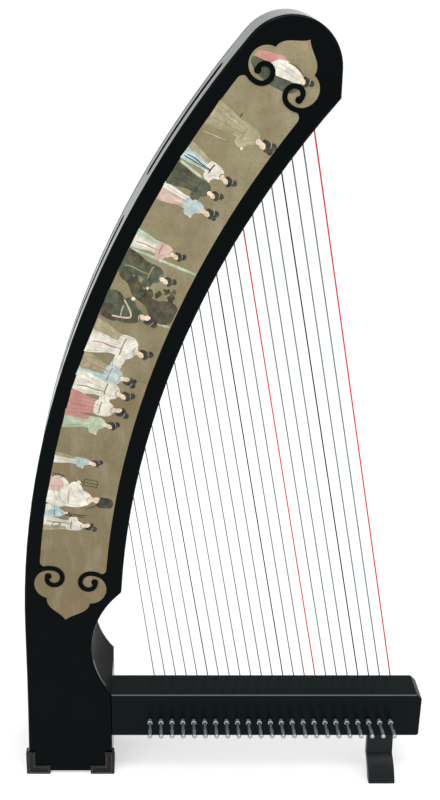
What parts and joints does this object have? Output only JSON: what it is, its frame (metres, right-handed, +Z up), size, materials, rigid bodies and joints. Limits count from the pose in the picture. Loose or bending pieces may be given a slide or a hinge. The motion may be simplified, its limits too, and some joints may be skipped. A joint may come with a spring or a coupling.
{
  "type": "small vertical harp",
  "caption": "Small upright harp: a curved lacquered soundbox with painted sides rises from a footed base, and strings run down to turning pins in a low arm.",
  "frame": {"origin": "middle of the whole footprint on the floor, centre of the bottom face of the bounding box", "axes": "+Z up, +X from the column along the arm, -Y towards the tuning-pin side that faces the viewer"},
  "size_m": [0.508, 0.15, 0.9457],
  "materials": {
    "black_lacquer": "high-gloss black lacquer on wood with softly rounded edges",
    "dark_soundboard": "satin near-black stained soundboard wood",
    "bare_wood": "unfinished pale wood inside the soundbox",
    "painted_silk": "aged tan silk with a painted frieze, set flush in the lacquer",
    "pin_steel": "polished nickel-plated steel",
    "steel": "plain steel",
    "brass": "polished brass",
    "knot_bead": "small black beads",
    "pale_string": "pale grey string",
    "dark_string": "black marker string",
    "red_string": "red marker string",
    "dark_rubber": "dark grey moulded corner foot with a raised rim"
  },
  "bodies": {
    "harp_frame": {"arm": "black_lacquer", "arm_bolts": "steel", "arm_stand": "black_lacquer", "back_plate": "black_lacquer", "base_block": "black_lacquer", "base_plate": "black_lacquer", "cross_braces": "bare_wood", "dark_strings": "dark_string", "foot_front_left": "dark_rubber", "foot_front_right": "dark_rubber", "foot_rear_left": "dark_rubber", "foot_rear_right": "dark_rubber", "front_painted_panel": "painted_silk", "front_scroll_ornament": "black_lacquer", "front_side_panel": "black_lacquer", "guide_pins": "steel", "head_block": "black_lacquer", "inner_string_bar": "bare_wood", "notch_liner": "black_lacquer", "outer_string_strip": "dark_soundboard", "plain_strings": "pale_string", "rear_painted_panel": "painted_silk", "rear_scroll_ornament": "black_lacquer", "rear_side_panel": "black_lacquer", "red_strings": "red_string", "soundboard": "dark_soundboard", "soundboard_linings": "bare_wood", "stand_pad": "dark_rubber", "stand_screws": "steel", "string_eyelets": "brass", "string_knots": "knot_bead"},
    "peg_01": {"tuning_pin_01": "pin_steel"},
    "peg_02": {"tuning_pin_02": "pin_steel"},
    "peg_03": {"tuning_pin_03": "pin_steel"},
    "peg_04": {"tuning_pin_04": "pin_steel"},
    "peg_05": {"tuning_pin_05": "pin_steel"},
    "peg_06": {"tuning_pin_06": "pin_steel"},
    "peg_07": {"tuning_pin_07": "pin_steel"},
    "peg_08": {"tuning_pin_08": "pin_steel"},
    "peg_09": {"tuning_pin_09": "pin_steel"},
    "peg_10": {"tuning_pin_10": "pin_steel"},
    "peg_11": {"tuning_pin_11": "pin_steel"},
    "peg_12": {"tuning_pin_12": "pin_steel"},
    "peg_13": {"tuning_pin_13": "pin_steel"},
    "peg_14": {"tuning_pin_14": "pin_steel"},
    "peg_15": {"tuning_pin_15": "pin_steel"},
    "peg_16": {"tuning_pin_16": "pin_steel"},
    "peg_17": {"tuning_pin_17": "pin_steel"},
    "peg_18": {"tuning_pin_18": "pin_steel"},
    "peg_19": {"tuning_pin_19": "pin_steel"},
    "peg_20": {"tuning_pin_20": "pin_steel"},
    "peg_21": {"tuning_pin_21": "pin_steel"},
    "peg_22": {"tuning_pin_22": "pin_steel"},
    "peg_23": {"tuning_pin_23": "pin_steel"}
  },
  "joints": [
    {"name": "pin_01_turn", "type": "hinge", "parent": "harp_frame", "child": "peg_01", "pos_m": [-0.093, -0.02, 0.0825], "axis": [0, 1, 0], "continuous": true},
    {"name": "pin_02_turn", "type": "hinge", "parent": "harp_frame", "child": "peg_02", "pos_m": [-0.079, -0.02, 0.0825], "axis": [0, 1, 0], "continuous": true},
    {"name": "pin_03_turn", "type": "hinge", "parent": "harp_frame", "child": "peg_03", "pos_m": [-0.065, -0.02, 0.0825], "axis": [0, 1, 0], "continuous": true},
    {"name": "pin_04_turn", "type": "hinge", "parent": "harp_frame", "child": "peg_04", "pos_m": [-0.051, -0.02, 0.0825], "axis": [0, 1, 0], "continuous": true},
    {"name": "pin_05_turn", "type": "hinge", "parent": "harp_frame", "child": "peg_05", "pos_m": [-0.037, -0.02, 0.0825], "axis": [0, 1, 0], "continuous": true},
    {"name": "pin_06_turn", "type": "hinge", "parent": "harp_frame", "child": "peg_06", "pos_m": [-0.023, -0.02, 0.0825], "axis": [0, 1, 0], "continuous": true},
    {"name": "pin_07_turn", "type": "hinge", "parent": "harp_frame", "child": "peg_07", "pos_m": [-0.009, -0.02, 0.0825], "axis": [0, 1, 0], "continuous": true},
    {"name": "pin_08_turn", "type": "hinge", "parent": "harp_frame", "child": "peg_08", "pos_m": [0.005, -0.02, 0.0825], "axis": [0, 1, 0], "continuous": true},
    {"name": "pin_09_turn", "type": "hinge", "parent": "harp_frame", "child": "peg_09", "pos_m": [0.019, -0.02, 0.0825], "axis": [0, 1, 0], "continuous": true},
    {"name": "pin_10_turn", "type": "hinge", "parent": "harp_frame", "child": "peg_10", "pos_m": [0.033, -0.02, 0.0825], "axis": [0, 1, 0], "continuous": true},
    {"name": "pin_11_turn", "type": "hinge", "parent": "harp_frame", "child": "peg_11", "pos_m": [0.047, -0.02, 0.0825], "axis": [0, 1, 0], "continuous": true},
    {"name": "pin_12_turn", "type": "hinge", "parent": "harp_frame", "child": "peg_12", "pos_m": [0.061, -0.02, 0.0825], "axis": [0, 1, 0], "continuous": true},
    {"name": "pin_13_turn", "type": "hinge", "parent": "harp_frame", "child": "peg_13", "pos_m": [0.075, -0.02, 0.0825], "axis": [0, 1, 0], "continuous": true},
    {"name": "pin_14_turn", "type": "hinge", "parent": "harp_frame", "child": "peg_14", "pos_m": [0.089, -0.02, 0.0825], "axis": [0, 1, 0], "continuous": true},
    {"name": "pin_15_turn", "type": "hinge", "parent": "harp_frame", "child": "peg_15", "pos_m": [0.103, -0.02, 0.0825], "axis": [0, 1, 0], "continuous": true},
    {"name": "pin_16_turn", "type": "hinge", "parent": "harp_frame", "child": "peg_16", "pos_m": [0.117, -0.02, 0.0825], "axis": [0, 1, 0], "continuous": true},
    {"name": "pin_17_turn", "type": "hinge", "parent": "harp_frame", "child": "peg_17", "pos_m": [0.131, -0.02, 0.0825], "axis": [0, 1, 0], "continuous": true},
    {"name": "pin_18_turn", "type": "hinge", "parent": "harp_frame", "child": "peg_18", "pos_m": [0.145, -0.02, 0.0825], "axis": [0, 1, 0], "continuous": true},
    {"name": "pin_19_turn", "type": "hinge", "parent": "harp_frame", "child": "peg_19", "pos_m": [0.159, -0.02, 0.0825], "axis": [0, 1, 0], "continuous": true},
    {"name": "pin_20_turn", "type": "hinge", "parent": "harp_frame", "child": "peg_20", "pos_m": [0.173, -0.02, 0.0825], "axis": [0, 1, 0], "continuous": true},
    {"name": "pin_21_turn", "type": "hinge", "parent": "harp_frame", "child": "peg_21", "pos_m": [0.187, -0.02, 0.0825], "axis": [0, 1, 0], "continuous": true},
    {"name": "pin_22_turn", "type": "hinge", "parent": "harp_frame", "child": "peg_22", "pos_m": [0.201, -0.02, 0.0825], "axis": [0, 1, 0], "continuous": true},
    {"name": "pin_23_turn", "type": "hinge", "parent": "harp_frame", "child": "peg_23", "pos_m": [0.215, -0.02, 0.0825], "axis": [0, 1, 0], "continuous": true}
  ]
}
